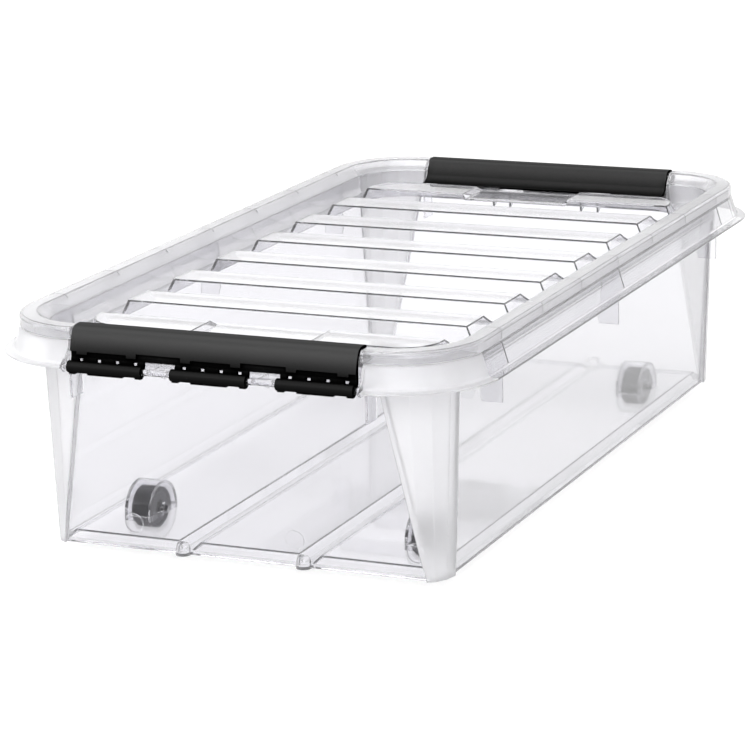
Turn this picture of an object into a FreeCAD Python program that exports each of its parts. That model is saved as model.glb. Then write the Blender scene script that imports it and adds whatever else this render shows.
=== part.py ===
"""Under-bed storage box: a clear tub and lid, two black hinged clips and four wheels on axle pins.

The frame is in millimetres, +Z up, with the origin on the floor below the middle of the box. The box is long
in Y and the clips sit at its two short ends. The driving sizes are in the spreadsheet, and every sketch and
solid is bound to them by expressions.
"""
import FreeCAD, Part
import math
import os

import Sketcher

DRIVING_SIZES = {
    # the whole box; all heights are above the floor
    "half_width": 200.0,
    "half_length": 360.0,
    "lip_radius": 77.0,
    "wall": 2.0,
    # tub shell: foot and rim outlines, seen from above
    "foot_height": 9.0,
    "foot_half_width": 163.0,
    "foot_half_length": 318.5,
    "foot_radius": 26.0,
    "ledge_height": 178.9,
    "top_half_width": 171.5,
    "top_half_length": 330.0,
    "top_radius": 46.0,
    # wall panels, set back between the corner posts
    "panel_height": 159.6,
    "end_panel_foot_half": 150.0,
    "end_panel_top_half": 121.0,
    "end_panel_foot_out": 310.5,
    "end_panel_top_out": 323.2,
    "side_panel_half": 290.5,
    "side_panel_foot_out": 160.5,
    "side_panel_top_out": 168.0,
    # floor: three raised planks with the runners between them
    "plank_height": 16.1,
    "plank_inner_half": 41.0,
    "plank_outer_near": 59.0,
    "plank_outer_far": 148.0,
    "plank_half_length": 299.0,
    "runner_offset": 50.0,
    "runner_half": 6.0,
    "runner_end": 317.5,
    "runner_end_height": 19.7,
    # rim: ledge, skirt and lip, as distances out from the corner centres
    "skirt_top_reach": 64.5,
    "skirt_foot_reach": 70.0,
    "lip_height": 161.4,
    "skin": 1.8,
    # stiffening fins below the rim
    "fin_pitch": 252.0,
    "fin_foot": 132.0,
    "fin_reach": 187.0,
    "fin_thickness": 1.8,
    # clip bays in the short ends, and the rod that each clip turns on
    "bay_half": 119.0,
    "bay_shelf": 161.1,
    "bay_face": 346.0,
    "rod_offset": 355.4,
    "rod_height": 160.9,
    "rod_radius": 2.4,
    # lid
    "lid_rim_foot": 179.5,
    "lid_top": 188.5,
    "lid_reach": 64.5,
    "lid_floor": 164.0,
    "rib_pitch": 84.0,
    # lid planks: a row of crests between two border planks
    "crest_height": 176.5,
    "crest_half": 142.3,
    "crest_pitch": 76.7,
    "crest_flat": 33.7,
    "crest_ramp": 33.8,
    "crest_lean": 2.5,
    "border_half_length": 286.4,
    "border_radius": 30.0,
    "end_draft": 6.0,
    "scoop_half": 46.0,
    "scoop_depth": 4.0,
    # clips
    "clip_half": 115.4,
    "knuckle_radius": 4.5,
    "knuckle_bore": 2.5,
    "knuckle_half": 30.5,
    "knuckle_pitch": 84.9,
    # wheels
    "wheel_x": 118.3,
    "wheel_y": 232.0,
    "wheel_radius": 17.0,
    "wheel_half": 8.2,
    "axle_radius": 3.0,
    "axle_clearance": 0.06,
    "housing_radius": 23.0,
    "housing_half": 11.0,
}

CREST_COUNT = 8
FACETS = 4
OUTSIDE = 430.0
OVERLAP = 0.5
MM3_PER_CM3 = 1000.0

# the floor planks' sides start this far above the foot
PLANK_ROOT = 1.5
# how much of the wall's thickness the planks' and runners' hollows are drawn in by
PLANK_HOLLOW = 0.4
RUNNER_HOLLOW = 0.8
# a round-nosed runner end: how far it is drawn in at shares of its height, and how much of that at its sides
RUNNER_ROUNDING = [(0.0, 0.0), (0.45, 0.5), (0.75, 2.0), (0.92, 4.2), (1.0, 7.0)]
RUNNER_SIDE_SHARE = 0.3

# ejector marks inside an end wall: how far across they are, their height, radius and thickness
MARK_PLACES = (-91.0, 43.0, 141.0)
MARK_HEIGHT = 29.5
MARK_RADIUS = 7.5
MARK_RISE = 0.35

# the tub rim's section, as (out, up): from the skirt's foot, from the lip's outer edge, and back at the foot
SKIRT_FOOT = [(-0.6, 1.2), (1.0, 0.0)]
LIP_EDGE = [(-0.6, -0.5), (0.0, -1.2), (-0.4, -1.9)]
SKIRT_BACK = [(-0.4, -1.5), (-1.8, -0.4)]

# a side fin: its root out from the foot, its sloping foot, and how far it stays inside the skirt
FIN_ROOT = 7.0
FIN_SLOPE = [(-1.0, 6.0), (0.6, 0.0)]
FIN_LIP_DROP = 1.0
FIN_SKIRT_FOOT = (1.6, 0.2)
FIN_SHOULDER = 1.2

# a clip bay's cut: how far the rim's cut is out from the wall top, the wall's cut in from it, and their depths
BAY_RIM_OUT = 1.5
BAY_WALL_IN = 10.0
BAY_RIM_DROP = 12.0
BAY_LAP = 0.1
CLEAR_ABOVE = 5.0
# a bay's cheek and the webs that hold the rod, as (in, up) from the hinge, and the webs' offsets from a
# window's middle
CHEEK_OUTLINE = [(26.4, -26.9), (9.4, -26.9), (9.4, -3.9), (-1.0, -4.4), (-4.4, -1.0), (-4.4, 1.5), (3.0, 6.8),
                 (8.0, 17.7), (8.4, 1.0), (26.4, 1.0)]
CHEEK_LAP = 0.2
WEB_OUTLINE = [(26.4, -11.3), (9.4, -2.3), (1.4, -1.8), (1.4, 1.8), (9.4, -0.3), (26.4, -0.3)]
WEB_SHIFTS = (-8.0, 8.0)
BAY_WALL_LAP = 1.0

# the lid rim's section: (in from its outer face, down from its top)
LID_RIM_BEAD = [(0.0, 2.6), (0.7, 0.9), (2.3, 0.0), (12.5, 0.0), (14.3, 0.8), (22.3, 8.3)]
LID_RIM_HOLLOW = [(20.5, 9.3), (12.9, 1.9), (2.7, 1.8), (1.8, 2.7)]
LID_WALL_IN = 23.9
LID_WALL_FOOT = 1.9
# the ribs under the lid's bead: (in, down) like the section, then their foot
LID_RIB_SECTION = [(0.9, 2.2), (2.5, 0.9), (12.6, 0.9), (14.6, 2.6), (14.6, 5.0)]
LID_RIB_FOOT = (0.9, 9.0)
LID_RIB_LIFT = 0.4
LID_RIB_THICKNESS = 1.4
LID_RIB_PAIRS = 3

# the lid's rim in a clip bay, as (in, up) from the hinge, and its inner face at one reach from the hinge
POCKET_RIM = [(9.9, 9.3), (9.9, 21.2), (12.3, 23.6), (18.2, 23.6)]
POCKET_LINING = [(17.3, 21.8), (13.0, 21.8), (11.7, 20.5), (11.7, 9.3)]
POCKET_REACH = 30.2
POCKET_ANGLES = (40.0, 28.0, 17.0, 8.0)
POCKET_GAP = 1.0
# the plates beside a pocket: how far they lap it, and their inner side behind the rim's outer face
POCKET_CHEEK_LAP = 2.0
POCKET_CHEEK_FOOT = 22.0
POCKET_CHEEK_BACK = (20.7, 9.3)

# lid planks: how far they sink into the panel, what the hollows below them keep of the ramp and the peak, and
# how far they run past the field that trims them
PLANK_SINK = 0.3
HOLLOW_RAMP = 0.6
HOLLOW_PEAK = 0.3
PLANK_PAST = 1.0
FIELD_PAST = 0.1
HOLLOW_INSET = 1.7
# how deep the trimming fields of the planks and of their hollows reach below the lid's floor
FIELD_DEPTH = 1.0
HOLLOW_DEPTH = 4.0
SCOOP_SPLAY = 4.5
SCOOP_LENGTH = 40.4
SCOOP_RUN = 50.0

# the clip's section as (in, up) from its hinge, from the cover's foot over the top to the hooking lip and back
CLIP_SECTION = [(2.3, 8.9), (7.1, 24.6), (14.8, 29.1), (20.2, 29.1), (24.1, 26.3), (29.8, 15.3), (39.2, 10.0),
                (39.6, 7.8), (27.7, 13.7), (22.2, 24.4), (19.2, 26.6), (15.0, 26.6), (10.4, 24.4), (5.3, 8.9)]
CLIP_BENDS = {0: -47.0, 1: -8.2, 3: -4.6, 5: 12.1, 6: -1.4, 7: -14.3, 9: 2.3, 11: 5.7, 12: 44.5}
# the set-back plate behind the cover's foot, above the knuckles
CLIP_FRAME = [(7.5, 16.7), (4.8, 16.7), (4.5, 9.0), (4.5, 2.5), (7.0, 2.5), (7.3, 6.7)]
CLIP_ROOT = [(7.3, 6.7), (4.5, 6.7), (2.8, 2.3), (4.0, -1.9), (6.1, -0.7)]
COVER_CUT = (-6.0, 4.4)
COVER_FOOT = 7.5
PLATE_CUT = (2.4, 10.0)
# where the cover's foot is cut back: half width and height above the hinge, between tabs and over windows
TAB_GAP = (16.2, 11.1)
WINDOW_GAP = (18.2, 12.4)
TAB_OUTER = 24.9
WINDOW_HALF = 12.8
WINDOW_HEIGHTS = (-4.0, 6.4)
# the light slots above each knuckle
SLOT_COUNT = 4
SLOT_PITCH = 15.0
SLOT_WIDTH = 4.0
SLOT_HEIGHTS = (2.9, 5.6)
# a knuckle's lower lip and its two end feet: half widths, how far in the feet are, depth each way and heights
LOWER_LIP_HALF = 14.5
LOWER_LIP_DEPTH = 1.8
END_FOOT_IN = 3.2
END_FOOT_HALF = 2.6
END_FOOT_DEPTH = 1.6
LOWER_LIP_HEIGHTS = (-5.3, -3.2)
# the hooking lip is trimmed outside its middle tab: the tab's half width, the trim's slope, heights and run
LIP_TAB_HALF = 38.0
LIP_TAB_SLOPE = 2.0
LIP_TRIM_HEIGHTS = (6.7, 9.2)
LIP_TRIM_START = 310.0
LIP_TRIM_RUN = 11.0
CUT_PAST = 1.0

# a wheel's side: the hub's stand-out and wall, the dished web, and the rim as (in from the side, in from the
# tread)
HUB_OUT = 0.4
HUB_WALL = 2.4
WEB_DEPTH = 1.8
WEB_START = 3.2
WHEEL_RIM = [(1.8, 3.4), (0.5, 2.8), (0.0, 2.2), (0.0, 1.2), (1.2, 0.1)]
BORE_CLEARANCE = 0.02
AXLE_CHAMFER = 0.8


class Size:
    """A length, held both as a number and as the spreadsheet formula that gives it."""

    def __init__(self, value, formula):
        self.value = value
        self.formula = formula

    def __add__(self, other):
        other = as_size(other)
        return Size(self.value + other.value, f"({self.formula} + {other.formula})")

    def __sub__(self, other):
        other = as_size(other)
        return Size(self.value - other.value, f"({self.formula} - {other.formula})")

    def __mul__(self, factor):
        return Size(self.value * factor, f"({self.formula} * {factor})")

    def __neg__(self):
        return Size(-self.value, f"(-1 * {self.formula})")

    def __radd__(self, other):
        return as_size(other) + self

    def __rsub__(self, other):
        return as_size(other) - self


def as_size(value):
    """A plain number becomes a size whose formula is the number itself."""
    return value if isinstance(value, Size) else Size(float(value), repr(float(value)))


doc = FreeCAD.newDocument("UnderBedBox")
sheet = doc.addObject("Spreadsheet::Sheet", "Sizes")
for row, (alias, number) in enumerate(DRIVING_SIZES.items(), start=1):
    sheet.set(f"A{row}", alias)
    sheet.set(f"B{row}", str(number))
    sheet.setAlias(f"B{row}", alias)
doc.recompute()


class Sheet:
    """Sizes by name, as Sheet.wall, read from the spreadsheet."""

    def __getattr__(self, alias):
        return Size(float(sheet.get(alias)), f"Sizes.{alias}")


S = Sheet()


# ---------------------------------------------------------------- sketches and solids

def new_sketch(body, name, role, offset):
    """A sketch on one of the body's own origin planes, moved along the plane's normal by a bound offset."""
    sketch = body.newObject("Sketcher::SketchObject", name)
    plane = [feature for feature in body.Origin.OriginFeatures if feature.Role == role][0]
    sketch.AttachmentSupport = [(plane, "")]
    sketch.MapMode = "FlatFace"
    sketch.setExpression("AttachmentOffset.Base.z", as_size(offset).formula)
    return sketch


def hold(sketch, kind, geometry, point, size):
    """Hold one point of the sketch at a bound distance from the origin."""
    index = sketch.addConstraint(Sketcher.Constraint(kind, -1, 1, geometry, point, size.value))
    sketch.setExpression(f"Constraints[{index}]", size.formula)


def arc_between(start, end, radius):
    """The arc from start to end, bulging to the right of the way there, or to the left if radius is negative."""
    along = end - start
    right = FreeCAD.Vector(along.y, -along.x, 0).normalize() * (1 if radius > 0 else -1)
    rise = math.sqrt(max(radius ** 2 - (along.Length / 2) ** 2, 0.0))
    centre = (start + end) * 0.5 - right * rise
    first, last = (start, end) if radius > 0 else (end, start)
    angles = [math.atan2(place.y - centre.y, place.x - centre.x) for place in (first, last)]
    circle = Part.Circle(centre, FreeCAD.Vector(0, 0, 1), abs(radius))
    return Part.ArcOfCircle(circle, angles[0], angles[1])


def draw_outline(sketch, points, arcs=None):
    """A closed outline through bound points. arcs gives the radius of the edge that leaves a point."""
    arcs = arcs or {}
    places = [FreeCAD.Vector(as_size(u).value, as_size(v).value, 0) for u, v in points]
    count = len(places)
    ends = []
    for index, start in enumerate(places):
        end = places[(index + 1) % count]
        if index not in arcs:
            sketch.addGeometry(Part.LineSegment(start, end))
            ends.append((1, 2))
            continue
        radius = as_size(arcs[index])
        sketch.addGeometry(arc_between(start, end, radius.value))
        ends.append((1, 2) if radius.value > 0 else (2, 1))
        bound = sketch.addConstraint(Sketcher.Constraint("Radius", index, abs(radius.value)))
        sketch.setExpression(f"Constraints[{bound}]", (radius if radius.value > 0 else -radius).formula)
    for index in range(count):
        before = (index - 1) % count
        sketch.addConstraint(Sketcher.Constraint("Coincident", before, ends[before][1], index, ends[index][0]))
    for index, (u, v) in enumerate(points):
        hold(sketch, "DistanceX", index, ends[index][0], as_size(u))
        hold(sketch, "DistanceY", index, ends[index][0], as_size(v))


def rectangle(low_u, low_v, high_u, high_v):
    """The corners of a rectangle, counter-clockwise."""
    return [(low_u, low_v), (high_u, low_v), (high_u, high_v), (low_u, high_v)]


def rounded_rectangle(half_u, half_v, radius):
    """Points and arcs of a rounded rectangle about the origin."""
    flat_u = half_u - radius
    flat_v = half_v - radius
    points = [(flat_u, -half_v), (half_u, -flat_v), (half_u, flat_v), (flat_u, half_v),
              (-flat_u, half_v), (-half_u, flat_v), (-half_u, -flat_v), (-flat_u, -half_v)]
    return points, {0: radius, 2: radius, 4: radius, 6: radius}


def fluted_rectangle(half_u, half_v, radius):
    """A rectangle whose corners turn in equal flat facets, as the corner posts do."""
    points = []
    for quarter, (sign_u, sign_v) in enumerate([(1, 1), (-1, 1), (-1, -1), (1, -1)]):
        for facet in range(FACETS + 1):
            angle = math.radians(90.0 * (quarter + facet / FACETS))
            points.append(((half_u - radius) * sign_u + radius * round(math.cos(angle), 9),
                           (half_v - radius) * sign_v + radius * round(math.sin(angle), 9)))
    return points


def new_body(name):
    return doc.addObject("PartDesign::Body", name)


def prism(name, role, outline, start, length):
    """A pad of an outline on an origin plane, from start along the plane's normal."""
    body = new_body(name)
    sketch = new_sketch(body, name + "_sketch", role, start)
    points, arcs = outline if isinstance(outline, tuple) else (outline, None)
    draw_outline(sketch, points, arcs)
    pad = body.newObject("PartDesign::Pad", name + "_pad")
    pad.Profile = sketch
    pad.setExpression("Length", as_size(length).formula)
    return body


def loft(name, sections):
    """A straight loft between outlines at bound heights."""
    body = new_body(name)
    sketches = []
    for number, (height, outline) in enumerate(sections):
        sketch = new_sketch(body, f"{name}_section_{number}", "XY_Plane", height)
        points, arcs = outline if isinstance(outline, tuple) else (outline, None)
        draw_outline(sketch, points, arcs)
        sketches.append(sketch)
    solid = body.newObject("PartDesign::AdditiveLoft", name + "_loft")
    solid.Profile = sketches[0]
    solid.Sections = sketches[1:]
    solid.Ruled = True
    return body


def ring(name, section):
    """A section in the XZ plane swept round the box, keeping the rim's corner centres."""
    body = new_body(name)
    path = new_sketch(body, name + "_path", "XY_Plane", 0)
    draw_outline(path, *rounded_rectangle(S.half_width, S.half_length, S.lip_radius))
    profile = new_sketch(body, name + "_profile", "XZ_Plane", 0)
    draw_outline(profile, section)
    pipe = body.newObject("PartDesign::AdditivePipe", name + "_pipe")
    pipe.Profile = profile
    pipe.Spine = path
    return body


def cylinder_x(name, radius, start, length, y, z):
    """A cylinder along X."""
    solid = doc.addObject("Part::Cylinder", name)
    solid.setExpression("Radius", as_size(radius).formula)
    solid.setExpression("Height", as_size(length).formula)
    solid.Placement.Rotation = FreeCAD.Rotation(FreeCAD.Vector(0, 1, 0), 90)
    solid.setExpression("Placement.Base.x", as_size(start).formula)
    solid.setExpression("Placement.Base.y", as_size(y).formula)
    solid.setExpression("Placement.Base.z", as_size(z).formula)
    return solid


def box(name, low, high):
    """A box between two bound corners."""
    solid = doc.addObject("Part::Box", name)
    for axis, side, near, far in zip("xyz", ("Length", "Width", "Height"), low, high):
        solid.setExpression(side, (as_size(far) - near).formula)
        solid.setExpression(f"Placement.Base.{axis}", as_size(near).formula)
    return solid


def fuse(name, solids):
    result = doc.addObject("Part::MultiFuse", name)
    result.Shapes = solids
    return result


def cut(name, base, tool):
    result = doc.addObject("Part::Cut", name)
    result.Base = base
    result.Tool = tool
    return result


def common(name, first, second):
    result = doc.addObject("Part::MultiCommon", name)
    result.Shapes = [first, second]
    return result


def mirror(name, source, normal):
    """The mirror image of a solid in the plane through the origin with this normal."""
    result = doc.addObject("Part::Mirroring", name)
    result.Source = source
    result.Normal = FreeCAD.Vector(*normal)
    return result


def both_ends(source):
    return [source, mirror(source.Name + "_rear", source, (0, 1, 0))]


def both_sides(source):
    return [source, mirror(source.Name + "_right", source, (1, 0, 0))]


def four_corners(source):
    pair = both_sides(source)
    return pair + [mirror(solid.Name + "_rear", solid, (0, 1, 0)) for solid in pair]


# ---------------------------------------------------------------- tub

def from_hinge(inward, up):
    """A point in the YZ plane at a distance in from a front clip's hinge, and up from it."""
    return (-S.rod_offset + inward, S.rod_height + up)


def hinge_outline(offsets):
    """Points in the YZ plane from their (in, up) offsets from a front clip's hinge."""
    return [from_hinge(*offset) for offset in offsets]


def shell_block(name, inset, floor):
    """The tapered block of the tub, inset from the outer surface, standing on a floor height."""
    foot = fluted_rectangle(S.foot_half_width - inset, S.foot_half_length - inset, S.foot_radius - inset)
    top = fluted_rectangle(S.top_half_width - inset, S.top_half_length - inset, S.top_radius - inset)
    block = loft(name + "_block", [(S.foot_height, foot), (S.ledge_height + inset, top)])
    return cut(name, block, fuse(name + "_panels", wall_panels(name, inset, floor)))


def wall_panels(name, inset, floor):
    """What is taken off a block: its underside up to the floor height, and the panels between the posts."""
    low = S.foot_height
    high = S.panel_height + inset
    foot_half = S.end_panel_foot_half + inset
    top_half = S.end_panel_top_half + inset
    foot = rectangle(-foot_half, -OUTSIDE, foot_half, -(S.end_panel_foot_out - inset))
    top = rectangle(-top_half, -OUTSIDE, top_half, -(S.end_panel_top_out - inset))
    end = loft(name + "_end_panel", [(low, foot), (high, top)])
    side_half = S.side_panel_half + inset
    side_foot = rectangle(S.side_panel_foot_out - inset, -side_half, OUTSIDE, side_half)
    side_top = rectangle(S.side_panel_top_out - inset, -side_half, OUTSIDE, side_half)
    side = loft(name + "_side_panel", [(low, side_foot), (high, side_top)])
    panels = both_ends(end) + both_sides(side)
    if floor is not None:
        panels.append(box(name + "_floor", (-OUTSIDE, -OUTSIDE, 0.0), (OUTSIDE, OUTSIDE, floor)))
    return panels


def raised_plank(name, low_x, high_x, half_y, base, top):
    """A floor plank whose sides slope outwards from its top down to its base."""
    spread = top - base
    foot = rectangle(low_x - spread, -(half_y + spread), high_x + spread, half_y + spread)
    crown = rectangle(low_x, -half_y, high_x, half_y)
    return loft(name, [(base, foot), (top, crown)])


def floor_planks(name, shrink, base, top):
    """The three raised planks of the floor, with each side drawn in by shrink."""
    half_y = S.plank_half_length - shrink
    inner = S.plank_inner_half - shrink
    middle = raised_plank(name + "_middle", -inner, inner, half_y, base, top)
    outer = raised_plank(name + "_outer", S.plank_outer_near + shrink, S.plank_outer_far - shrink, half_y,
                         base, top)
    return [middle] + both_sides(outer)


def runner_end(name, inset, floor):
    """The round-nosed end of a runner, standing out of the end wall."""
    near = -(S.end_panel_foot_out - S.wall * 2)
    sections = []
    for share, drawn_in in RUNNER_ROUNDING:
        half = S.runner_half - inset - drawn_in * RUNNER_SIDE_SHARE
        tip = -(S.runner_end - inset - drawn_in)
        left = S.runner_offset - half
        right = S.runner_offset + half
        outline = [(left, near), (left, tip + half), (S.runner_offset, tip), (right, tip + half), (right, near)]
        height = floor + (S.runner_end_height - inset - floor) * share
        sections.append((height, (outline, {1: half, 2: half})))
    return loft(name, sections)


def arch(radius, low):
    """A half disc about a wheel's middle at the floor plank's top, run straight down to a low edge."""
    middle = -S.wheel_y
    high = S.plank_height
    points = [(middle - radius, low), (middle + radius, low), (middle + radius, high), (middle, high + radius),
              (middle - radius, high)]
    return points, {2: radius, 3: radius}


def wheel_housing():
    """The half-disc dome over one wheel: it stands on the floor plank and its cheeks run on below it."""
    middle = -S.wheel_y
    outline = arch(S.housing_radius, S.foot_height + PLANK_ROOT)
    dome = prism("housing", "YZ_Plane", outline, S.wheel_x - S.housing_half, S.housing_half * 2)
    seat_half = S.housing_half + S.wall
    seat = cylinder_x("axle_seat", S.axle_radius + S.wall, S.wheel_x - seat_half, seat_half * 2, middle,
                      S.wheel_radius)
    return fuse("wheel_housing", [dome, seat])


def wheel_well():
    """The room inside a housing, open below, with the two axle holes."""
    middle = -S.wheel_y
    half = S.housing_half - S.wall
    outline = arch(S.housing_radius - S.wall, as_size(0.0))
    room = prism("well", "YZ_Plane", outline, S.wheel_x - half, half * 2)
    reach = S.housing_half + S.wall * 2
    holes = cylinder_x("axle_holes", S.axle_radius + S.axle_clearance, S.wheel_x - reach, reach * 2, middle,
                       S.wheel_radius)
    return fuse("wheel_well", [room, holes])


def rim_ring():
    """The skirt and lip that run round the tub below the lid."""
    centre = S.half_width - S.lip_radius
    top = S.ledge_height
    lip = S.lip_height
    shoulder = centre + S.skirt_top_reach
    foot = centre + S.skirt_foot_reach
    section = [(shoulder - S.skin, top), (shoulder, top)]
    for start, offsets in ((foot, SKIRT_FOOT), (S.half_width, LIP_EDGE), (foot, SKIRT_BACK)):
        section += [(start + out, lip + up) for out, up in offsets]
    return ring("skirt", section + [(shoulder - S.skin, top - S.wall)])


def ledge():
    """The flat ledge between the wall top and the skirt."""
    centre_x = S.half_width - S.lip_radius
    centre_y = S.half_length - S.lip_radius
    reach = S.skirt_top_reach - OVERLAP
    outline = rounded_rectangle(centre_x + reach, centre_y + reach, reach)
    return prism("ledge", "XY_Plane", outline, S.ledge_height - S.wall, S.wall)


def side_fins():
    """Fins under the rim of the long sides, at the middle and near both ends."""
    centre = S.half_width - S.lip_radius
    root = S.foot_half_width + FIN_ROOT
    under_ledge = S.ledge_height - S.wall * 0.5
    skirt_in, skirt_up = FIN_SKIRT_FOOT
    outline = [(root + out, S.fin_foot + up) for out, up in FIN_SLOPE]
    outline += [(S.fin_reach, S.fin_foot), (S.fin_reach, S.lip_height - FIN_LIP_DROP),
                (centre + S.skirt_foot_reach - skirt_in, S.lip_height + skirt_up),
                (centre + S.skirt_top_reach - FIN_SHOULDER, under_ledge), (root, under_ledge)]
    fins = []
    for number, place in enumerate([-S.fin_pitch, as_size(0.0), S.fin_pitch]):
        fin = prism(f"side_fin_{number}", "XZ_Plane", outline, -place - S.fin_thickness * 0.5, S.fin_thickness)
        fins += both_sides(fin)
    return fins


def clip_bay_cut():
    """Room for a clip: the rim is left out here and the wall top is lower."""
    rim_in = -(S.top_half_length + BAY_RIM_OUT)
    wall_in = -(S.top_half_length - BAY_WALL_IN)
    low = box("bay_rim", (-S.bay_half, -OUTSIDE, S.lip_height - BAY_RIM_DROP),
              (S.bay_half, rim_in, S.bay_shelf + BAY_LAP))
    high = box("bay_wall", (-S.bay_half, -OUTSIDE, S.bay_shelf),
               (S.bay_half, wall_in, S.ledge_height + CLEAR_ABOVE))
    return both_ends(fuse("clip_bay", [low, high]))


def clip_bay():
    """The shelf of a clip bay, its two cheeks, the hinge rod and the webs that hold the rod."""
    half = S.bay_half + OVERLAP
    wall_y = -(S.top_half_length - BAY_WALL_LAP)
    shelf = box("bay_shelf_plate", (-half, -S.bay_face, S.bay_shelf - S.wall), (half, wall_y, S.bay_shelf))
    rod = cylinder_x("hinge_rod", S.rod_radius, -half, half * 2, -S.rod_offset, S.rod_height)
    cheek = prism("bay_cheek", "YZ_Plane", hinge_outline(CHEEK_OUTLINE), S.bay_half - CHEEK_LAP, S.fin_thickness)
    webs = []
    for number, shift in enumerate(WEB_SHIFTS):
        left = S.knuckle_pitch * 0.5 + shift - S.fin_thickness * 0.5
        web = prism(f"rod_web_{number}", "YZ_Plane", hinge_outline(WEB_OUTLINE), left, S.fin_thickness)
        webs += both_sides(web)
    return both_ends(fuse("bay_parts", [shelf, rod] + both_sides(cheek) + webs))


def ejector_marks():
    """Round ejector marks just proud of the inside of the end walls, turned to the walls' draft."""
    draft_out = S.end_panel_top_out.value - S.end_panel_foot_out.value
    draft = math.atan2(draft_out, S.panel_height.value - S.foot_height.value)
    rise = MARK_HEIGHT - S.foot_height.value
    face = -(S.end_panel_foot_out.value + rise * math.tan(draft)) + S.wall.value * 0.5
    turn = FreeCAD.Rotation(FreeCAD.Vector(1, 0, 0), -90.0 + math.degrees(draft))
    marks = []
    for number, across in enumerate(MARK_PLACES):
        mark = doc.addObject("Part::Cylinder", f"ejector_mark_{number}")
        mark.Radius = MARK_RADIUS
        mark.setExpression("Height", (S.wall * 0.5 + MARK_RISE).formula)
        mark.Placement = FreeCAD.Placement(FreeCAD.Vector(across, face, MARK_HEIGHT), turn)
        marks.append(mark)
        marks.append(mirror(mark.Name + "_rear", mark, (0, 1, 0)))
    return marks


def make_tub():
    outer = shell_block("tub_outside", 0.0, None)
    inner = shell_block("tub_inside", S.wall, S.foot_height + S.wall)
    blank = fuse("tub_blank", [outer, ledge()] + four_corners(runner_end("runner_end", 0.0, S.foot_height)))
    runner_room = four_corners(runner_end("runner_room", S.wall * RUNNER_HOLLOW, S.foot_height + S.wall))
    shell = cut("tub_shell", blank, fuse("tub_room", [inner] + runner_room))
    rim = fuse("tub_rim", [shell, rim_ring()] + side_fins())
    bays = cut("tub_bays", rim, fuse("bay_cuts", clip_bay_cut()))
    planks = floor_planks("floor_plank", 0.0, S.foot_height + PLANK_ROOT, S.plank_height)
    planked = fuse("tub_planked", [bays] + clip_bay() + planks + ejector_marks())
    under = floor_planks("under_plank", S.wall * PLANK_HOLLOW, S.foot_height - OVERLAP, S.plank_height - S.wall)
    hollowed = cut("tub_hollowed", planked, fuse("plank_undersides", under))
    housed = fuse("tub_housed", [hollowed] + four_corners(wheel_housing()))
    return cut("tub", housed, fuse("wheel_wells", four_corners(wheel_well())))


# ---------------------------------------------------------------- lid

def lid_section():
    """The lid's rim: a rounded bead over the tub's ledge, and the wall that drops to the panel."""
    outer = S.half_width - S.lip_radius + S.lid_reach
    top = S.lid_top
    wall = outer - LID_WALL_IN
    under = S.lid_floor - S.skin
    bead = [(outer - inward, top - down) for inward, down in LID_RIM_BEAD]
    hollow = [(outer - inward, top - down) for inward, down in LID_RIM_HOLLOW]
    wall_foot = [(wall, S.lid_floor), (wall, under), (wall + LID_WALL_FOOT, under)]
    return [(outer, S.lid_rim_foot)] + bead + wall_foot + hollow + [(outer - S.skin, S.lid_rim_foot)]


def lid_ribs():
    """Small ribs across the channel under the lid's bead, along the long sides."""
    outer = S.half_width - S.lip_radius + S.lid_reach
    top = S.lid_top
    foot = S.lid_rim_foot + LID_RIB_LIFT
    near, far = LID_RIB_FOOT
    outline = [(outer - near, foot)] + [(outer - inward, top - down) for inward, down in LID_RIB_SECTION]
    outline.append((outer - far, foot))
    ribs = []
    for number in range(-LID_RIB_PAIRS, LID_RIB_PAIRS + 1):
        place = S.rib_pitch * number - LID_RIB_THICKNESS * 0.5
        name = f"lid_rib_{number + LID_RIB_PAIRS}"
        ribs += both_sides(prism(name, "XZ_Plane", outline, place, LID_RIB_THICKNESS))
    return ribs


def round_hinge(angle, reach):
    """A point at a reach from a front clip's hinge, at an angle above the way in."""
    turn = math.radians(angle)
    return from_hinge(reach * round(math.cos(turn), 6), reach * round(math.sin(turn), 6))


def clip_pocket():
    """The lid's narrower rim inside a clip bay: its inner face keeps one distance from the clip's hinge."""
    inside = POCKET_REACH - S.skin.value
    face = [round_hinge(angle, POCKET_REACH) for angle in POCKET_ANGLES]
    back = [round_hinge(angle, inside) for angle in reversed(POCKET_ANGLES)]
    foot_in = -S.rod_offset + POCKET_REACH
    under = S.lid_floor - S.skin
    outline = hinge_outline(POCKET_RIM) + face + [(foot_in, under), (foot_in - S.skin, under)] + back
    half = S.bay_half - POCKET_GAP
    return prism("clip_pocket", "YZ_Plane", outline + hinge_outline(POCKET_LINING), -half, half * 2)


def pocket_cheeks():
    """Plates that close the lid's rim where it meets a clip pocket."""
    outer = -(S.half_length - S.lip_radius + S.lid_reach)
    top = S.lid_top
    back_in, back_down = POCKET_CHEEK_BACK
    bead = LID_RIM_BEAD[:1] + LID_RIM_BEAD[2:]
    outline = [(outer, S.lid_rim_foot)] + [(outer + inward, top - down) for inward, down in bead]
    outline += [(outer + LID_WALL_IN, S.lid_floor - OVERLAP), (outer + POCKET_CHEEK_FOOT, S.lid_floor - S.skin),
                (outer + back_in, top - back_down), (outer + back_in, S.lid_rim_foot)]
    return both_sides(prism("pocket_cheek", "YZ_Plane", outline, S.bay_half - POCKET_CHEEK_LAP, S.skin))


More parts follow.
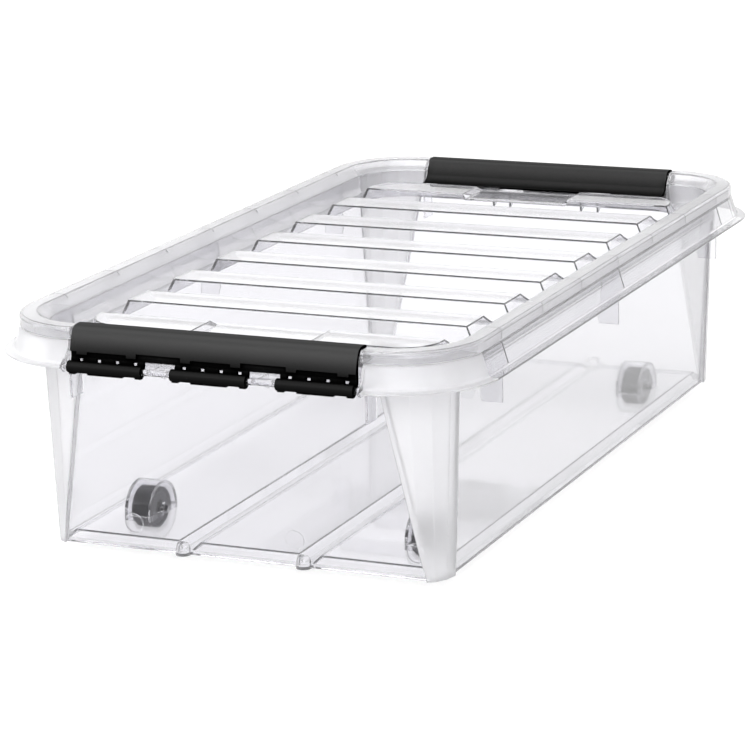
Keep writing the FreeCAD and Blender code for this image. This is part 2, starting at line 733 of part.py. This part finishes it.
def plank_row(name, drop, inset):
    """The sawtooth planks of the lid: a flat top, a hollow ramp down and a steep face up to the next."""
    start = -S.border_half_length
    high = S.crest_height - drop
    low = S.lid_floor - PLANK_SINK - drop
    reach = S.crest_ramp - inset * HOLLOW_RAMP
    rise = (high - low).value
    hollow = (reach.value ** 2 + rise ** 2) / (2.0 * rise)
    peak = start + S.crest_flat - inset * HOLLOW_PEAK
    half = S.crest_half + S.end_draft + PLANK_PAST
    body = new_body(name)
    sketch = new_sketch(body, name + "_sketch", "YZ_Plane", -half)
    points = [(start - S.crest_lean + inset, low), (peak + reach, low), (peak, high), (start + inset, high)]
    draw_outline(sketch, points, {1: -hollow})
    pad = body.newObject("PartDesign::Pad", name + "_pad")
    pad.Profile = sketch
    pad.setExpression("Length", (half * 2).formula)
    doc.recompute()
    pattern = body.newObject("PartDesign::LinearPattern", name + "_pattern")
    pattern.Originals = [pad]
    y_axis = [feature for feature in body.Origin.OriginFeatures if feature.Role == "Y_Axis"][0]
    pattern.Direction = (y_axis, [""])
    pattern.Occurrences = CREST_COUNT
    pattern.setExpression("Length", (S.crest_pitch * (CREST_COUNT - 1)).formula)
    body.Tip = pattern
    return body


def plank_field(name, inset, base):
    """The tapered field that trims the ends of the planks."""
    slope = S.end_draft.value / (S.crest_height - S.lid_floor).value
    spread = (S.crest_height - base) * slope
    half_x = S.crest_half - inset
    half_y = S.border_half_length + OVERLAP - inset
    radius = S.border_radius - inset
    top = rounded_rectangle(half_x, half_y, radius)
    foot = rounded_rectangle(half_x + spread, half_y + spread, radius + spread)
    return loft(name, [(base, foot), (S.crest_height + FIELD_PAST, top)])


def scoop(name, inset):
    """The finger scoops sunk in the border planks, in front of the clips."""
    low = S.crest_height - S.scoop_depth - inset
    high = S.crest_height + PLANK_PAST
    half = S.scoop_half + inset
    wide = half + SCOOP_SPLAY
    outline = [(-half, low), (half, low), (wide, high), (-wide, high)]
    return both_ends(prism(name, "XZ_Plane", outline, S.border_half_length - SCOOP_LENGTH, SCOOP_RUN))


def make_lid():
    centre_x = S.half_width - S.lip_radius
    centre_y = S.half_length - S.lip_radius
    gap_half = S.bay_half - POCKET_CHEEK_LAP
    gap_in = -(centre_y + S.lid_reach - LID_WALL_IN)
    gap = box("lid_gap", (-gap_half, -OUTSIDE, S.lid_floor - S.skin), (gap_half, gap_in, S.lid_top + CLEAR_ABOVE))
    rim = cut("lid_rim_open", ring("lid_ring", lid_section()), fuse("lid_gaps", both_ends(gap)))
    panel_reach = S.lid_reach - LID_WALL_IN + PLANK_PAST
    panel_outline = rounded_rectangle(centre_x + panel_reach, centre_y + panel_reach, panel_reach)
    panel = prism("lid_panel", "XY_Plane", panel_outline, S.lid_floor - S.skin, S.skin)
    planks = common("lid_planks", plank_row("plank_row", as_size(0.0), 0.0),
                    plank_field("plank_field", 0.0, S.lid_floor - FIELD_DEPTH))
    planks_with_scoops = cut("lid_planks_cut", planks, fuse("lid_scoops", scoop("scoop", 0.0)))
    cheeks = [solid for cheek in pocket_cheeks() for solid in both_ends(cheek)]
    solid = fuse("lid_solid", [rim, panel, planks_with_scoops] + both_ends(clip_pocket()) + cheeks + lid_ribs())
    hollow = common("plank_room_trimmed", plank_row("plank_room", S.skin, HOLLOW_INSET),
                    plank_field("plank_room_field", S.wall, S.lid_floor - HOLLOW_DEPTH))
    hollow_cut = cut("plank_room_cut", hollow, fuse("scoop_floors", scoop("scoop_floor", S.skin)))
    return cut("lid", solid, hollow_cut)


# ---------------------------------------------------------------- clips

def hinge_box(name, x_range, inward, up):
    """A box given by its range across, and by its ranges in from the hinge and up from it."""
    low = from_hinge(inward[0], up[0])
    high = from_hinge(inward[1], up[1])
    return box(name, (x_range[0], low[0], low[1]), (x_range[1], high[0], high[1]))


def knuckle(tag, middle):
    """One knuckle's solids and cuts: the roll round the hinge rod, its root, lower lip and light slots."""
    near = middle - S.knuckle_half
    length = S.knuckle_half * 2
    lip = (middle - LOWER_LIP_HALF, middle + LOWER_LIP_HALF)
    solids = [
        prism(tag + "_root", "YZ_Plane", hinge_outline(CLIP_ROOT), near, length),
        cylinder_x(tag + "_knuckle", S.knuckle_radius, near, length, -S.rod_offset, S.rod_height),
        hinge_box(tag + "_lower_lip", lip, (-LOWER_LIP_DEPTH, LOWER_LIP_DEPTH), LOWER_LIP_HEIGHTS),
    ]
    for side, shift in (("left", as_size(END_FOOT_IN)), ("right", length - END_FOOT_IN)):
        across = (near + shift - END_FOOT_HALF, near + shift + END_FOOT_HALF)
        solids.append(hinge_box(f"{tag}_{side}_foot", across, (-END_FOOT_DEPTH, END_FOOT_DEPTH),
                                LOWER_LIP_HEIGHTS))
    gap_half, gap_top = TAB_GAP
    cuts = [cylinder_x(tag + "_bore", S.knuckle_bore, near - CUT_PAST, length + CUT_PAST * 2, -S.rod_offset,
                       S.rod_height),
            hinge_box(tag + "_tab_gap", (middle - gap_half, middle + gap_half), COVER_CUT, (COVER_FOOT, gap_top))]
    for slot in range(SLOT_COUNT):
        left = middle + (slot - (SLOT_COUNT - 1) / 2) * SLOT_PITCH - SLOT_WIDTH / 2
        cuts.append(hinge_box(f"{tag}_slot_{slot}", (left, left + SLOT_WIDTH), PLATE_CUT, SLOT_HEIGHTS))
    return solids, cuts


def window_cuts(side):
    """The window beside the middle knuckle, the cover's foot cut back over it, and its outer corner."""
    middle = S.knuckle_pitch * (0.5 * side)
    outer = (S.knuckle_pitch + TAB_OUTER) * side
    past = (S.clip_half + CUT_PAST) * side
    corner = (outer, past) if side > 0 else (past, outer)
    gap_half, gap_top = WINDOW_GAP
    return [
        hinge_box(f"clip_window_{side + 1}", (middle - WINDOW_HALF, middle + WINDOW_HALF), PLATE_CUT,
                  WINDOW_HEIGHTS),
        hinge_box(f"cover_foot_{side + 1}", (middle - gap_half, middle + gap_half), COVER_CUT,
                  (COVER_FOOT, gap_top)),
        hinge_box(f"cover_corner_{side + 1}", corner, COVER_CUT, (COVER_FOOT, TAB_GAP[1])),
    ]


def lip_trim(side):
    """What is trimmed off the hooking lip on each side of its lower middle tab."""
    far = S.clip_half + CUT_PAST
    foot, edge = (S.rod_height + up for up in LIP_TRIM_HEIGHTS)
    points = [(LIP_TAB_HALF * side, foot), (far * side, foot), (far * side, edge),
              ((LIP_TAB_HALF + LIP_TAB_SLOPE) * side, edge)]
    outline = points if side > 0 else points[::-1]
    return prism(f"lip_trim_{side + 1}", "XZ_Plane", outline, LIP_TRIM_START, LIP_TRIM_RUN)


def make_clip_blank():
    """One clip at the front end: cover with its hooking lip, set-back frame, knuckles and all their cuts."""
    section = (hinge_outline(CLIP_SECTION), CLIP_BENDS)
    width = S.clip_half * 2
    solids = [prism("clip_cover", "YZ_Plane", section, -S.clip_half, width),
              prism("clip_frame", "YZ_Plane", hinge_outline(CLIP_FRAME), -S.clip_half, width)]
    cuts = []
    for number in (-1, 0, 1):
        more_solids, more_cuts = knuckle(f"clip_{number + 1}", S.knuckle_pitch * number)
        solids += more_solids
        cuts += more_cuts
    for side in (-1, 1):
        cuts += window_cuts(side) + [lip_trim(side)]
    return cut("clip_blank", fuse("clip_solid", solids), fuse("clip_cuts", cuts))


def make_clips():
    front = make_clip_blank()
    return {"clip_front": front, "clip_rear": mirror("clip_mirror", front, (0, 1, 0))}


# ---------------------------------------------------------------- wheels

def turned_part(name, outline, sign_x, sign_y):
    """A part turned about the X axis from an outline, and set at one corner's axle."""
    body = new_body(name)
    sketch = new_sketch(body, name + "_sketch", "XZ_Plane", 0)
    draw_outline(sketch, outline)
    turn = body.newObject("PartDesign::Revolution", name + "_revolution")
    turn.Profile = sketch
    turn.ReferenceAxis = (sketch, ["H_Axis"])
    turn.Angle = 360
    body.setExpression("Placement.Base.x", (S.wheel_x * sign_x).formula)
    body.setExpression("Placement.Base.y", (S.wheel_y * sign_y).formula)
    body.setExpression("Placement.Base.z", S.wheel_radius.formula)
    return body


def make_wheel(name, sign_x, sign_y):
    """A wheel with a lightly crowned tread, a dished web on both sides and a short hub."""
    half = S.wheel_half
    radius = S.wheel_radius
    bore = S.axle_radius + BORE_CLEARANCE
    right = [(half + HUB_OUT, bore), (half + HUB_OUT, bore + HUB_WALL), (half - WEB_DEPTH, bore + WEB_START)]
    right += [(half - inward, radius - down) for inward, down in WHEEL_RIM]
    left = [(-u, v) for u, v in reversed(right)]
    return turned_part(name, right + [(as_size(0.0), radius)] + left, sign_x, sign_y)


def make_axle(name, sign_x, sign_y):
    """An axle pin with chamfered ends, seated in both cheeks of a housing."""
    half = S.housing_half + S.wall + OVERLAP
    radius = S.axle_radius
    flat = half - AXLE_CHAMFER
    face = radius - AXLE_CHAMFER
    outline = [(-half, 0.0), (half, 0.0), (half, face), (flat, radius), (-flat, radius), (-half, face)]
    return turned_part(name, outline, sign_x, sign_y)


def make_wheels():
    parts = {}
    for end, sign_y in (("front", -1), ("rear", 1)):
        for side, sign_x in (("left", -1), ("right", 1)):
            corner = f"{end}_{side}"
            parts["wheel_" + corner] = make_wheel("wheel_" + corner, sign_x, sign_y)
            parts["axle_" + corner] = make_axle("axle_" + corner, sign_x, sign_y)
    return parts


# ---------------------------------------------------------------- build, check and write

def check_document():
    """Stop on any failed object in the document."""
    failed = [item.Name for item in doc.Objects if "Invalid" in item.State or "Error" in item.State]
    if failed:
        raise RuntimeError("failed objects: " + ", ".join(failed))


def write_parts(parts):
    """Check each node's solid, then write it to a STEP file of the same name."""
    os.makedirs("parts", exist_ok=True)
    for node, item in parts.items():
        item.Label = node
        shape = item.Shape
        if shape.isNull() or not shape.isValid() or len(shape.Solids) != 1:
            raise RuntimeError(f"{node}: null, invalid or not one solid ({len(shape.Solids)} solids)")
        print(f"{node}: {shape.Volume / MM3_PER_CM3:.2f} cm3")
    for node, item in parts.items():
        item.Shape.exportStep(f"parts/{node}.step")


sub_parts = {"tub": make_tub(), "lid": make_lid()}
sub_parts.update(make_clips())
sub_parts.update(make_wheels())
doc.recompute()
check_document()
write_parts(sub_parts)
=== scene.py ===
"""Looks of the under-bed box: a clear polypropylene tub and lid, black clips and dark grey wheels."""

import math
from collections import namedtuple

import bpy
from mathutils import Matrix, Vector

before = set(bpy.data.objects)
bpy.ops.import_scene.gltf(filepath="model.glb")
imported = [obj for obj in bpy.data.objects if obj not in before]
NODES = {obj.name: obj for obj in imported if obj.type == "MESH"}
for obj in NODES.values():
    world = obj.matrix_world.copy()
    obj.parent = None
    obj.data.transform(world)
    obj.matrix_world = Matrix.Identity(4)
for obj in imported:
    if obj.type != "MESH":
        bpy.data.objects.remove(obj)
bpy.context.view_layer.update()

# every length here is in metres

# camera: place, angles in degrees, sensor and lens in millimetres
CAMERA_PLACE = Vector((1.02983, -2.35971, 0.74406))
CAMERA_AZIMUTH = 24.14
CAMERA_ELEVATION = 14.55
CAMERA_ROLL = -1.58
SENSOR_WIDTH = 36.0
LENS = 154.4
CLIP_END = 100.0

# how far a moulded edge is rounded, and in how many samples; the lid's are sharper
EDGE_RADIUS = 0.0009
LID_EDGE_RADIUS = 0.0005
BEVEL_SAMPLES = 4
# the blend at which Layer Weight's facing is 1 minus the cosine of the angle of view
FACING_BLEND = 0.5

# each noise below is its cells per metre and its octaves of detail, and if its cells aren't as long as they are wide,
# how its coordinates are scaled along x, y and z

# clear polypropylene, per moulding: how far its edges are rounded, two ends of its tint, and how much of the light
# it scatters all over, edge on, in the corner posts, up to the floor planks' top and in the rim
Clear = namedtuple("Clear", "edge tints haze edge_on posts low rim")
TUB = Clear(edge=EDGE_RADIUS, tints=((0.928, 0.925, 0.946), (0.942, 0.939, 0.956)),
            haze=0.006, edge_on=0.22, posts=0.80, low=0.045, rim=0.0)
LID = Clear(edge=LID_EDGE_RADIUS, tints=((0.960, 0.957, 0.978), (0.974, 0.971, 0.988)),
            haze=0.03, edge_on=0.02, posts=0.0, low=0.0, rim=0.24)
HAZE_SPREAD = (0.85, 1.15)
EDGE_ON_POWER = 2.0
PLASTIC_IOR = 1.49
REFLECTION_TINT = (0.35, 0.35, 0.36, 1.0)
SCATTERED_TINT = (0.972, 0.970, 0.982, 1.0)
# the light that goes straight through and the light that is scattered: roughness from and to, and transmission
CLEAR_ROUGHNESS = (0.02, 0.05)
CLEAR_TRANSMISSION = 1.0
SCATTERED_ROUGHNESS = (0.34, 0.44)
SCATTERED_TRANSMISSION = 0.70
# the tint that deep plastic takes on, and how quickly
DEPTH_TINT = (0.80, 0.80, 0.85, 1.0)
DEPTH_DENSITY = 4.0
BROAD_NOISE = (9.0, 2.0)
FINE_NOISE = (60.0, 4.0, (1.0, 0.35, 1.0))

# the corner posts lie outside the end panels' slanting edges: the edges' lean, their distance off the middle at the
# foot, and where along the tub the posts begin
POST_LEAN = 0.1926
POST_EDGE = (0.1514, 0.1524)
POST_START = (0.290, 0.291)
# the floor planks' top, and the wheel housings' domes: near and far limits in x, y and z
FLOOR_TOP = (0.0163, 0.0166)
HOUSINGS = ((0.0, 0.136), (0.0, 0.263), (0.0163, 0.0405))
NEAR_FADE = 0.0003
FAR_FADE = 0.001
# how much rougher the domes are
DOME_ROUGHNESS = 0.05
# the specular level outside the domes and in them
DOME_SPECULAR = (0.14, 0.05)
# the lid's rim: where its haze begins across and along the lid, and where it is full
RIM_ACROSS = (0.146, 0.160)
RIM_ALONG = (0.296, 0.318)
# the long sides hold a little more tint, from the first distance off the middle to the second
SIDES = (0.149, 0.153)
SIDE_TINT = 0.92

# black plastic: its colours in painted shade and in the open, and what counts as shade for the painted shade
BLACK_SHADED = (0.0004, 0.0004, 0.0004, 1.0)
BLACK_OPEN = (0.012, 0.012, 0.012, 1.0)
SHADE_REACH = 0.03
SHADE_POWER = 8.0
SHADE_SAMPLES = 8
# the clips' colour and sheen are painted in shade up to the first height and in full light from the second
CLIP_SHADE = (0.164, 0.184)
CLIP_SHADED_SHARE = 0.30
BLACK_MOTTLE = (0.8, 1.2)
BLACK_ROUGHNESS = 0.5
SHEEN_ROUGHNESS = (0.38, 0.46)
# the sheen's share face on and edge on, and how it fades on faces that turn down as painted shade
SHEEN_SHARE = (0.032, 0.075)
SHEEN_POWER = 3.0
SHEEN_UPWARD = (-0.4, 0.5)
SHEEN_DOWNWARD_SHARE = 0.15
BLACK_GRAIN_NOISE = (1400.0, 2.0)
BLACK_BROAD_NOISE = (25.0, 3.0)
BLACK_GRAIN = 0.25
GRAIN_DEPTH = 0.0002

# wheel plastic: the greys of tread and side, where a face counts as a side, how much of the way from one grey to the
# other the side and the mottle go, and its surface
WHEEL_GREYS = (0.002, 0.085)
AXLE_GREYS = (0.012, 0.02)
SIDE_FACING = (0.55, 0.75)
SIDE_SHARE = 0.75
MOTTLE_SHARE = 0.25
TREAD_HUE = (1.0, 0.97, 1.20)
SIDE_HUE = (1.0, 0.97, 1.15)
WHEEL_ROUGHNESS = (0.5, 0.65)
WHEEL_SPECULAR = 0.2
WHEEL_GRAIN_NOISE = (900.0, 2.0)
WHEEL_BROAD_NOISE = (80.0, 4.0)
WHEEL_GRAIN = 0.2

# studio floor: half its side, its tints and surface, and how much it glows
FLOOR_HALF = 12.0
FLOOR_TINTS = ((0.20, 0.20, 0.201, 1.0), (0.22, 0.22, 0.221, 1.0))
FLOOR_NOISE = (2.0, 3.0)
FLOOR_ROUGHNESS = 0.7
FLOOR_GLOW = 0.84

# softboxes: name, place, what they point at, width, height and power in watts
SOFTBOXES = (
    ("key", (-1.2, -0.6, 2.6), (0, 0, 0.1), 2.4, 2.4, 35.0),
    ("back", (-0.9, 2.6, 1.5), (0, 0, 0.1), 4.6, 1.5, 8.5),
    ("front", (0.9, -2.4, 1.5), (0, 0, 0.15), 2.2, 1.2, 46.0),
    ("side", (-1.1, -2.4, 1.35), (0, 0, 0.15), 1.2, 0.8, 16.0),
)

# the surroundings turn from white to grey along this direction, and are greyest from this far along it
GREY_SIDE = (0.40, -0.88, 0.12)
GREY_REACH = 0.9
SURROUND_WHITE = (1.0, 1.0, 1.0, 1.0)
SURROUND_GREY = (0.44, 0.44, 0.45, 1.0)

LIGHT_BOUNCES = {"max_bounces": 32, "transmission_bounces": 24, "transparent_max_bounces": 24, "glossy_bounces": 8}


# ---------------------------------------------------------------- node helpers

def new_material(name):
    material = bpy.data.materials.new(name)
    material.use_nodes = True
    material.node_tree.nodes.clear()
    return material


def add(material, kind, **settings):
    """A node of this kind, with its properties and input values set by name."""
    node = material.node_tree.nodes.new(kind)
    for key, value in settings.items():
        if hasattr(node, key):
            setattr(node, key, value)
        else:
            node.inputs[key.replace("_", " ")].default_value = value
    return node


def link(material, source, target):
    material.node_tree.links.new(source, target)


def surface(material, shader, volume=None):
    output = add(material, "ShaderNodeOutputMaterial")
    link(material, shader.outputs[0], output.inputs["Surface"])
    if volume:
        link(material, volume.outputs[0], output.inputs["Volume"])


def calculate(material, operation, *values):
    """A Math node of numbers and sockets."""
    node = add(material, "ShaderNodeMath", operation=operation)
    for value, socket in zip(values, node.inputs):
        if isinstance(value, (int, float)):
            socket.default_value = value
        else:
            link(material, value, socket)
    return node.outputs[0]


def remap(material, source, result, start=(0.0, 1.0)):
    """The source's values between the start's two, mapped onto the result's two and held there beyond them."""
    node = add(material, "ShaderNodeMapRange", From_Min=start[0], From_Max=start[1],
               To_Min=result[0], To_Max=result[1])
    link(material, source, node.inputs["Value"])
    return node.outputs["Result"]


def past(material, source, limits):
    """0 up to the first limit and 1 past the second, whichever side of the middle."""
    return remap(material, calculate(material, "ABSOLUTE", source), (0.0, 1.0), limits)


def inverse(material, source):
    return calculate(material, "SUBTRACT", 1.0, source)


def within(material, place, block):
    """1 inside a block given by how far it reaches along each axis, on both sides of the middle."""
    result = None
    for axis, (near, far) in zip("XYZ", block):
        inside = inverse(material, past(material, place[axis], (far, far + FAR_FADE)))
        if near:
            beyond = past(material, place[axis], (near, near + NEAR_FADE))
            inside = calculate(material, "MULTIPLY", inside, beyond)
        result = inside if result is None else calculate(material, "MULTIPLY", result, inside)
    return result


def split(material, coordinates):
    """The x, y and z of the object's own coordinates or of its normals."""
    node = add(material, "ShaderNodeSeparateXYZ")
    link(material, add(material, "ShaderNodeTexCoord").outputs[coordinates], node.inputs[0])
    return node.outputs


def noise(material, scale, detail, stretch=None):
    """Object-space noise, in cells per metre, stretched along the axes when asked."""
    source = add(material, "ShaderNodeTexCoord").outputs["Object"]
    if stretch:
        mapping = add(material, "ShaderNodeMapping", Scale=stretch)
        link(material, source, mapping.inputs["Vector"])
        source = mapping.outputs["Vector"]
    node = add(material, "ShaderNodeTexNoise", Scale=scale, Detail=detail)
    link(material, source, node.inputs["Vector"])
    return node.outputs["Fac"]


def ramp(material, source, first, last, last_position=1.0):
    """Colours from first to last, driven by a 0 to 1 source."""
    node = add(material, "ShaderNodeValToRGB")
    start, end = node.color_ramp.elements
    start.color = first
    end.color = last
    end.position = last_position
    link(material, source, node.inputs["Fac"])
    return node.outputs["Color"]


def edge_on(material, power):
    """0 where the surface is seen face on, rising to 1 where it is seen edge on."""
    node = add(material, "ShaderNodeLayerWeight", Blend=FACING_BLEND)
    return calculate(material, "POWER", node.outputs["Facing"], power)


def rounded_normal(material, radius):
    """Normals that turn smoothly over sharp edges, as moulded edges do."""
    return add(material, "ShaderNodeBevel", samples=BEVEL_SAMPLES, Radius=radius).outputs["Normal"]


def bump(material, height, strength, normal=None):
    node = add(material, "ShaderNodeBump", Strength=strength, Distance=GRAIN_DEPTH)
    link(material, height, node.inputs["Height"])
    if normal:
        link(material, normal, node.inputs["Normal"])
    return node.outputs["Normal"]


def mixed(material, share, first, second):
    """The first shader, with this share of the second."""
    node = add(material, "ShaderNodeMixShader")
    link(material, share, node.inputs["Fac"])
    link(material, first.outputs[0], node.inputs[1])
    link(material, second.outputs[0], node.inputs[2])
    return node


# ---------------------------------------------------------------- materials

def lobe(material, roughness, transmission, normal, domes, fine):
    """One of the clear plastic's two shaders, rougher in the wheel housings' domes."""
    shader = add(material, "ShaderNodeBsdfPrincipled", IOR=PLASTIC_IOR, Specular_Tint=REFLECTION_TINT,
                 Transmission_Weight=transmission)
    link(material, remap(material, domes, DOME_SPECULAR), shader.inputs["Specular IOR Level"])
    rough = calculate(material, "MULTIPLY_ADD", domes, DOME_ROUGHNESS, remap(material, fine, roughness))
    link(material, rough, shader.inputs["Roughness"])
    link(material, normal, shader.inputs["Normal"])
    return shader


def scattering(material, place, broad, look):
    """How much light is scattered: a little all over, and more edge on, in the posts, low down and in the rim."""
    slant = calculate(material, "MULTIPLY", place["Z"], POST_LEAN)
    outward = calculate(material, "ADD", calculate(material, "ABSOLUTE", place["X"]), slant)
    posts = calculate(material, "MULTIPLY",
                      past(material, outward, POST_EDGE), past(material, place["Y"], POST_START))
    low = inverse(material, past(material, place["Z"], FLOOR_TOP))
    rim = calculate(material, "MAXIMUM",
                    past(material, place["X"], RIM_ACROSS), past(material, place["Y"], RIM_ALONG))
    everywhere = remap(material, broad, [look.haze * share for share in HAZE_SPREAD])
    total = calculate(material, "MULTIPLY_ADD", edge_on(material, EDGE_ON_POWER), look.edge_on, everywhere)
    for patch, haze in ((posts, look.posts), (low, look.low), (rim, look.rim)):
        total = calculate(material, "MAXIMUM", total, calculate(material, "MULTIPLY", patch, haze))
    return total


def clear_plastic(name, look):
    """Clear polypropylene: some of the light goes straight through and the rest is scattered on its way."""
    material = new_material(name)
    place = split(material, "Object")
    broad = noise(material, *BROAD_NOISE)
    fine = noise(material, *FINE_NOISE)
    tint = add(material, "ShaderNodeVectorMath", operation="SCALE")
    link(material, ramp(material, broad, *((*color, 1.0) for color in look.tints)), tint.inputs[0])
    sides = past(material, place["X"], SIDES)
    link(material, remap(material, sides, (1.0, SIDE_TINT)), tint.inputs["Scale"])
    normal = rounded_normal(material, look.edge)
    domes = within(material, place, HOUSINGS)
    clear = lobe(material, CLEAR_ROUGHNESS, CLEAR_TRANSMISSION, normal, domes, fine)
    link(material, tint.outputs[0], clear.inputs["Base Color"])
    scattered = lobe(material, SCATTERED_ROUGHNESS, SCATTERED_TRANSMISSION, normal, domes, fine)
    scattered.inputs["Base Color"].default_value = SCATTERED_TINT
    volume = add(material, "ShaderNodeVolumeAbsorption", Color=DEPTH_TINT, Density=DEPTH_DENSITY)
    surface(material, mixed(material, scattering(material, place, broad, look), clear, scattered), volume)
    return material


def black_plastic(name):
    """Satin black polypropylene with a fine moulded grain, with shade painted in: deeper black and less sheen in
    hollows and low on the clips.
    """
    material = new_material(name)
    grain = noise(material, *BLACK_GRAIN_NOISE)
    broad = noise(material, *BLACK_BROAD_NOISE)
    # painted shade: hollows found by ambient occlusion and the clips' lower parts are darkened in colour and sheen
    shaded = add(material, "ShaderNodeAmbientOcclusion", samples=SHADE_SAMPLES, Distance=SHADE_REACH)
    height = remap(material, past(material, split(material, "Object")["Z"], CLIP_SHADE), (CLIP_SHADED_SHARE, 1.0))
    painted_light = calculate(material, "MULTIPLY",
                         calculate(material, "POWER", shaded.outputs["AO"], SHADE_POWER), height)
    # painted shade times random mottle drives the black from its shaded to its open colour
    painted_shade_and_mottle = calculate(material, "MULTIPLY", painted_light, remap(material, broad, BLACK_MOTTLE))
    normal = bump(material, grain, BLACK_GRAIN, rounded_normal(material, EDGE_RADIUS))
    body = add(material, "ShaderNodeBsdfPrincipled", Specular_IOR_Level=0.0, Roughness=BLACK_ROUGHNESS)
    link(material, ramp(material, painted_shade_and_mottle, BLACK_SHADED, BLACK_OPEN), body.inputs["Base Color"])
    link(material, normal, body.inputs["Normal"])
    sheen = add(material, "ShaderNodeBsdfGlossy")
    link(material, remap(material, broad, SHEEN_ROUGHNESS), sheen.inputs["Roughness"])
    link(material, normal, sheen.inputs["Normal"])
    # painted shade: the sheen fades on faces that turn down
    painted_upward_light = remap(material, split(material, "Normal")["Z"], (SHEEN_DOWNWARD_SHARE, 1.0), SHEEN_UPWARD)
    share = calculate(material, "MULTIPLY", remap(material, edge_on(material, SHEEN_POWER), SHEEN_SHARE), painted_upward_light)
    surface(material, mixed(material, calculate(material, "MULTIPLY", painted_light, share), body, sheen))
    return material


def wheel_plastic(name, greys):
    """Dull grey plastic, with a tread darker than the sides."""
    material = new_material(name)
    grain = noise(material, *WHEEL_GRAIN_NOISE)
    broad = noise(material, *WHEEL_BROAD_NOISE)
    sideways = past(material, split(material, "Normal")["X"], SIDE_FACING)
    # sides lighter than the tread, and random mottle
    side_and_mottle = calculate(material, "ADD", calculate(material, "MULTIPLY", sideways, SIDE_SHARE),
                     calculate(material, "MULTIPLY", broad, MOTTLE_SHARE))
    tread, side = ((*(grey * part for part in hue), 1.0) for grey, hue in zip(greys, (TREAD_HUE, SIDE_HUE)))
    shader = add(material, "ShaderNodeBsdfPrincipled", Specular_IOR_Level=WHEEL_SPECULAR)
    link(material, ramp(material, side_and_mottle, tread, side), shader.inputs["Base Color"])
    link(material, remap(material, broad, WHEEL_ROUGHNESS), shader.inputs["Roughness"])
    link(material, bump(material, grain, WHEEL_GRAIN), shader.inputs["Normal"])
    surface(material, shader)
    return material


def paint(node, material):
    """The CAD node keeps its mesh and takes this material."""
    mesh = NODES[node].data
    mesh.materials.clear()
    mesh.materials.append(material)


def paint_box():
    paint("tub", clear_plastic("clear_tub", TUB))
    paint("lid", clear_plastic("clear_lid", LID))
    clip_black = black_plastic("clip_black")
    wheel_grey = wheel_plastic("wheel_grey", WHEEL_GREYS)
    axle_grey = wheel_plastic("axle_grey", AXLE_GREYS)
    for clip in ("clip_front", "clip_rear"):
        paint(clip, clip_black)
    for corner in ("front_left", "front_right", "rear_left", "rear_right"):
        paint("wheel_" + corner, wheel_grey)
        paint("axle_" + corner, axle_grey)


# ---------------------------------------------------------------- studio

def studio_floor():
    """A plain pale floor, well past the camera's view."""
    corners = [(x * FLOOR_HALF, y * FLOOR_HALF, 0) for x, y in ((-1, -1), (1, -1), (1, 1), (-1, 1))]
    mesh = bpy.data.meshes.new("floor")
    mesh.from_pydata(corners, [], [(0, 1, 2, 3)])
    floor = bpy.data.objects.new("floor", mesh)
    bpy.context.scene.collection.objects.link(floor)
    material = new_material("floor_white")
    shader = add(material, "ShaderNodeBsdfPrincipled", Roughness=FLOOR_ROUGHNESS,
                 Emission_Color=(1.0, 1.0, 1.0, 1.0), Emission_Strength=FLOOR_GLOW)
    link(material, ramp(material, noise(material, *FLOOR_NOISE), *FLOOR_TINTS), shader.inputs["Base Color"])
    surface(material, shader)
    mesh.materials.append(material)


def softbox(name, place, target, width, height, power):
    light = bpy.data.lights.new(name, "AREA")
    light.shape = "RECTANGLE"
    light.size = width
    light.size_y = height
    light.energy = power
    lamp = bpy.data.objects.new(name, light)
    bpy.context.scene.collection.objects.link(lamp)
    lamp.location = place
    lamp.rotation_euler = (Vector(target) - Vector(place)).to_track_quat("-Z", "Y").to_euler()


def studio_world():
    """White behind the box and grey on the camera's side."""
    world = bpy.data.worlds.new("studio")
    bpy.context.scene.world = world
    world.use_nodes = True
    toward = add(world, "ShaderNodeVectorMath", operation="DOT_PRODUCT")
    link(world, add(world, "ShaderNodeTexCoord").outputs["Generated"], toward.inputs[0])
    toward.inputs[1].default_value = GREY_SIDE
    color = ramp(world, toward.outputs["Value"], SURROUND_WHITE, SURROUND_GREY, GREY_REACH)
    link(world, color, world.node_tree.nodes["Background"].inputs["Color"])


def studio_camera():
    """The camera turns about the vertical, tips down, then rolls about its own axis."""
    azimuth, elevation, roll = (math.radians(a) for a in (CAMERA_AZIMUTH, CAMERA_ELEVATION, CAMERA_ROLL))
    back = Vector((math.sin(azimuth) * math.cos(elevation), -math.cos(azimuth) * math.cos(elevation),
                   math.sin(elevation)))
    right = Vector((0, 0, 1)).cross(back).normalized()
    up = back.cross(right)
    level = Matrix((right, up, back)).transposed()
    camera = bpy.data.objects.new("camera", bpy.data.cameras.new("camera"))
    bpy.context.scene.collection.objects.link(camera)
    camera.data.sensor_width = SENSOR_WIDTH
    camera.data.lens = LENS
    camera.data.clip_end = CLIP_END
    turn = level @ Matrix.Rotation(roll, 3, "Z")
    camera.matrix_world = Matrix.Translation(CAMERA_PLACE) @ turn.to_4x4()
    bpy.context.scene.camera = camera


paint_box()
studio_floor()
studio_world()
for box in SOFTBOXES:
    softbox(*box)
studio_camera()

scene = bpy.context.scene
scene.view_settings.view_transform = "Standard"
for setting, bounces in LIGHT_BOUNCES.items():
    setattr(scene.cycles, setting, bounces)
